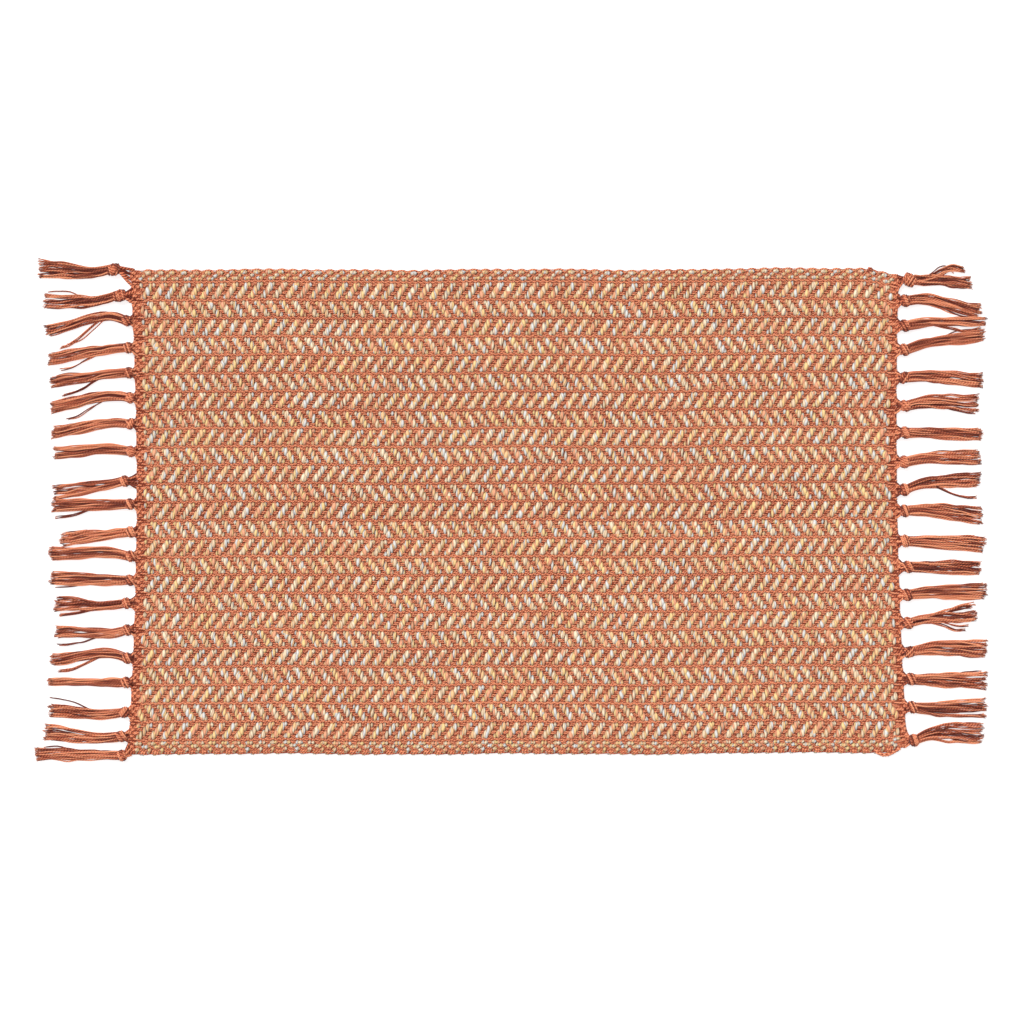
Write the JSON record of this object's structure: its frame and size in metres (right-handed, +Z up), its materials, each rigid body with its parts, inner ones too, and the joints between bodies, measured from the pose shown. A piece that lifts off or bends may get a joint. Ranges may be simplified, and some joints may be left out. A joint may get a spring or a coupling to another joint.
{
  "type": "bath mat",
  "caption": "Flat-woven rectangular cotton bath mat with a herringbone field, plain headings at the short ends and knotted tassels that turn up from the floor.",
  "frame": {"origin": "on the floor, at the centre of the whole mat with its tassels", "axes": "+X along the long side, towards the right fringe; +Y across, towards the far long edge; +Z up out of the cloth"},
  "size_m": [0.9911, 0.5199, 0.0085],
  "materials": {
    "woven_field": "thick herringbone twill of coral warp and a slub weft of apricot, cream and pale grey-blue strands",
    "heading": "plain-woven coral cotton",
    "selvedge": "coral cotton with small pale flecks",
    "tassel_yarn": "loose two-ply coral cotton yarn, knotted"
  },
  "bodies": {
    "mat": {"woven_field": "woven_field", "selvedge_far": "selvedge", "selvedge_near": "selvedge", "heading_left": "heading", "heading_right": "heading"},
    "fringe_left_01": {"tassel_left_01": "tassel_yarn"},
    "fringe_left_02": {"tassel_left_02": "tassel_yarn"},
    "fringe_left_03": {"tassel_left_03": "tassel_yarn"},
    "fringe_left_04": {"tassel_left_04": "tassel_yarn"},
    "fringe_left_05": {"tassel_left_05": "tassel_yarn"},
    "fringe_left_06": {"tassel_left_06": "tassel_yarn"},
    "fringe_left_07": {"tassel_left_07": "tassel_yarn"},
    "fringe_left_08": {"tassel_left_08": "tassel_yarn"},
    "fringe_left_09": {"tassel_left_09": "tassel_yarn"},
    "fringe_left_10": {"tassel_left_10": "tassel_yarn"},
    "fringe_left_11": {"tassel_left_11": "tassel_yarn"},
    "fringe_left_12": {"tassel_left_12": "tassel_yarn"},
    "fringe_left_13": {"tassel_left_13": "tassel_yarn"},
    "fringe_left_14": {"tassel_left_14": "tassel_yarn"},
    "fringe_left_15": {"tassel_left_15": "tassel_yarn"},
    "fringe_left_16": {"tassel_left_16": "tassel_yarn"},
    "fringe_left_17": {"tassel_left_17": "tassel_yarn"},
    "fringe_left_18": {"tassel_left_18": "tassel_yarn"},
    "fringe_left_19": {"tassel_left_19": "tassel_yarn"},
    "fringe_left_20": {"tassel_left_20": "tassel_yarn"},
    "fringe_right_01": {"tassel_right_01": "tassel_yarn"},
    "fringe_right_02": {"tassel_right_02": "tassel_yarn"},
    "fringe_right_03": {"tassel_right_03": "tassel_yarn"},
    "fringe_right_04": {"tassel_right_04": "tassel_yarn"},
    "fringe_right_05": {"tassel_right_05": "tassel_yarn"},
    "fringe_right_06": {"tassel_right_06": "tassel_yarn"},
    "fringe_right_07": {"tassel_right_07": "tassel_yarn"},
    "fringe_right_08": {"tassel_right_08": "tassel_yarn"},
    "fringe_right_09": {"tassel_right_09": "tassel_yarn"},
    "fringe_right_10": {"tassel_right_10": "tassel_yarn"},
    "fringe_right_11": {"tassel_right_11": "tassel_yarn"},
    "fringe_right_12": {"tassel_right_12": "tassel_yarn"},
    "fringe_right_13": {"tassel_right_13": "tassel_yarn"},
    "fringe_right_14": {"tassel_right_14": "tassel_yarn"},
    "fringe_right_15": {"tassel_right_15": "tassel_yarn"},
    "fringe_right_16": {"tassel_right_16": "tassel_yarn"},
    "fringe_right_17": {"tassel_right_17": "tassel_yarn"},
    "fringe_right_18": {"tassel_right_18": "tassel_yarn"}
  },
  "joints": [
    {"name": "swing_left_01", "type": "hinge", "parent": "mat", "child": "fringe_left_01", "pos_m": [-0.39578, 0.25173, 0.0025], "axis": [0, 1, 0], "range_deg": [0, 90]},
    {"name": "swing_left_02", "type": "hinge", "parent": "mat", "child": "fringe_left_02", "pos_m": [-0.39431, 0.22468, 0.0025], "axis": [0, 1, 0], "range_deg": [0, 90]},
    {"name": "swing_left_03", "type": "hinge", "parent": "mat", "child": "fringe_left_03", "pos_m": [-0.39307, 0.19868, 0.0025], "axis": [0, 1, 0], "range_deg": [0, 90]},
    {"name": "swing_left_04", "type": "hinge", "parent": "mat", "child": "fringe_left_04", "pos_m": [-0.39192, 0.17056, 0.0025], "axis": [0, 1, 0], "range_deg": [0, 90]},
    {"name": "swing_left_05", "type": "hinge", "parent": "mat", "child": "fringe_left_05", "pos_m": [-0.39103, 0.14457, 0.0025], "axis": [0, 1, 0], "range_deg": [0, 90]},
    {"name": "swing_left_06", "type": "hinge", "parent": "mat", "child": "fringe_left_06", "pos_m": [-0.39031, 0.11857, 0.0025], "axis": [0, 1, 0], "range_deg": [0, 90]},
    {"name": "swing_left_07", "type": "hinge", "parent": "mat", "child": "fringe_left_07", "pos_m": [-0.38975, 0.09152, 0.0025], "axis": [0, 1, 0], "range_deg": [0, 90]},
    {"name": "swing_left_08", "type": "hinge", "parent": "mat", "child": "fringe_left_08", "pos_m": [-0.38935, 0.06287, 0.0025], "axis": [0, 1, 0], "range_deg": [0, 90]},
    {"name": "swing_left_09", "type": "hinge", "parent": "mat", "child": "fringe_left_09", "pos_m": [-0.38915, 0.0321, 0.0025], "axis": [0, 1, 0], "range_deg": [0, 90]},
    {"name": "swing_left_10", "type": "hinge", "parent": "mat", "child": "fringe_left_10", "pos_m": [-0.38916, 0.00822, 0.0025], "axis": [0, 1, 0], "range_deg": [0, 90]},
    {"name": "swing_left_11", "type": "hinge", "parent": "mat", "child": "fringe_left_11", "pos_m": [-0.38937, -0.02069, 0.0025], "axis": [0, 1, 0], "range_deg": [0, 90]},
    {"name": "swing_left_12", "type": "hinge", "parent": "mat", "child": "fringe_left_12", "pos_m": [-0.38972, -0.04589, 0.0025], "axis": [0, 1, 0], "range_deg": [0, 90]},
    {"name": "swing_left_13", "type": "hinge", "parent": "mat", "child": "fringe_left_13", "pos_m": [-0.39022, -0.07082, 0.0025], "axis": [0, 1, 0], "range_deg": [0, 90]},
    {"name": "swing_left_14", "type": "hinge", "parent": "mat", "child": "fringe_left_14", "pos_m": [-0.39086, -0.0947, 0.0025], "axis": [0, 1, 0], "range_deg": [0, 90]},
    {"name": "swing_left_15", "type": "hinge", "parent": "mat", "child": "fringe_left_15", "pos_m": [-0.39177, -0.12255, 0.0025], "axis": [0, 1, 0], "range_deg": [0, 90]},
    {"name": "swing_left_16", "type": "hinge", "parent": "mat", "child": "fringe_left_16", "pos_m": [-0.39294, -0.15173, 0.0025], "axis": [0, 1, 0], "range_deg": [0, 90]},
    {"name": "swing_left_17", "type": "hinge", "parent": "mat", "child": "fringe_left_17", "pos_m": [-0.39413, -0.17693, 0.0025], "axis": [0, 1, 0], "range_deg": [0, 90]},
    {"name": "swing_left_18", "type": "hinge", "parent": "mat", "child": "fringe_left_18", "pos_m": [-0.3958, -0.20797, 0.0025], "axis": [0, 1, 0], "range_deg": [0, 90]},
    {"name": "swing_left_19", "type": "hinge", "parent": "mat", "child": "fringe_left_19", "pos_m": [-0.39733, -0.2329, 0.0025], "axis": [0, 1, 0], "range_deg": [0, 90]},
    {"name": "swing_left_20", "type": "hinge", "parent": "mat", "child": "fringe_left_20", "pos_m": [-0.39865, -0.2528, 0.0025], "axis": [0, 1, 0], "range_deg": [0, 90]},
    {"name": "swing_right_01", "type": "hinge", "parent": "mat", "child": "fringe_right_01", "pos_m": [0.40409, 0.241, 0.0025], "axis": [0, -1, 0], "range_deg": [0, 90]},
    {"name": "swing_right_02", "type": "hinge", "parent": "mat", "child": "fringe_right_02", "pos_m": [0.40354, 0.21935, 0.0025], "axis": [0, -1, 0], "range_deg": [0, 90]},
    {"name": "swing_right_03", "type": "hinge", "parent": "mat", "child": "fringe_right_03", "pos_m": [0.40301, 0.19348, 0.0025], "axis": [0, -1, 0], "range_deg": [0, 90]},
    {"name": "swing_right_04", "type": "hinge", "parent": "mat", "child": "fringe_right_04", "pos_m": [0.40261, 0.16846, 0.0025], "axis": [0, -1, 0], "range_deg": [0, 90]},
    {"name": "swing_right_05", "type": "hinge", "parent": "mat", "child": "fringe_right_05", "pos_m": [0.40229, 0.1395, 0.0025], "axis": [0, -1, 0], "range_deg": [0, 90]},
    {"name": "swing_right_06", "type": "hinge", "parent": "mat", "child": "fringe_right_06", "pos_m": [0.40214, 0.11025, 0.0025], "axis": [0, -1, 0], "range_deg": [0, 90]},
    {"name": "swing_right_07", "type": "hinge", "parent": "mat", "child": "fringe_right_07", "pos_m": [0.40214, 0.08242, 0.0025], "axis": [0, -1, 0], "range_deg": [0, 90]},
    {"name": "swing_right_08", "type": "hinge", "parent": "mat", "child": "fringe_right_08", "pos_m": [0.40231, 0.05205, 0.0025], "axis": [0, -1, 0], "range_deg": [0, 90]},
    {"name": "swing_right_09", "type": "hinge", "parent": "mat", "child": "fringe_right_09", "pos_m": [0.40263, 0.02309, 0.0025], "axis": [0, -1, 0], "range_deg": [0, 90]},
    {"name": "swing_right_10", "type": "hinge", "parent": "mat", "child": "fringe_right_10", "pos_m": [0.40298, 0.00116, 0.0025], "axis": [0, -1, 0], "range_deg": [0, 90]},
    {"name": "swing_right_11", "type": "hinge", "parent": "mat", "child": "fringe_right_11", "pos_m": [0.40363, -0.03005, 0.0025], "axis": [0, -1, 0], "range_deg": [0, 90]},
    {"name": "swing_right_12", "type": "hinge", "parent": "mat", "child": "fringe_right_12", "pos_m": [0.40435, -0.05705, 0.0025], "axis": [0, -1, 0], "range_deg": [0, 90]},
    {"name": "swing_right_13", "type": "hinge", "parent": "mat", "child": "fringe_right_13", "pos_m": [0.40527, -0.08601, 0.0025], "axis": [0, -1, 0], "range_deg": [0, 90]},
    {"name": "swing_right_14", "type": "hinge", "parent": "mat", "child": "fringe_right_14", "pos_m": [0.40636, -0.11525, 0.0025], "axis": [0, -1, 0], "range_deg": [0, 90]},
    {"name": "swing_right_15", "type": "hinge", "parent": "mat", "child": "fringe_right_15", "pos_m": [0.40765, -0.14534, 0.0025], "axis": [0, -1, 0], "range_deg": [0, 90]},
    {"name": "swing_right_16", "type": "hinge", "parent": "mat", "child": "fringe_right_16", "pos_m": [0.40901, -0.17345, 0.0025], "axis": [0, -1, 0], "range_deg": [0, 90]},
    {"name": "swing_right_17", "type": "hinge", "parent": "mat", "child": "fringe_right_17", "pos_m": [0.41058, -0.2027, 0.0025], "axis": [0, -1, 0], "range_deg": [0, 90]},
    {"name": "swing_right_18", "type": "hinge", "parent": "mat", "child": "fringe_right_18", "pos_m": [0.41263, -0.237, 0.0025], "axis": [0, -1, 0], "range_deg": [0, 90]}
  ]
}
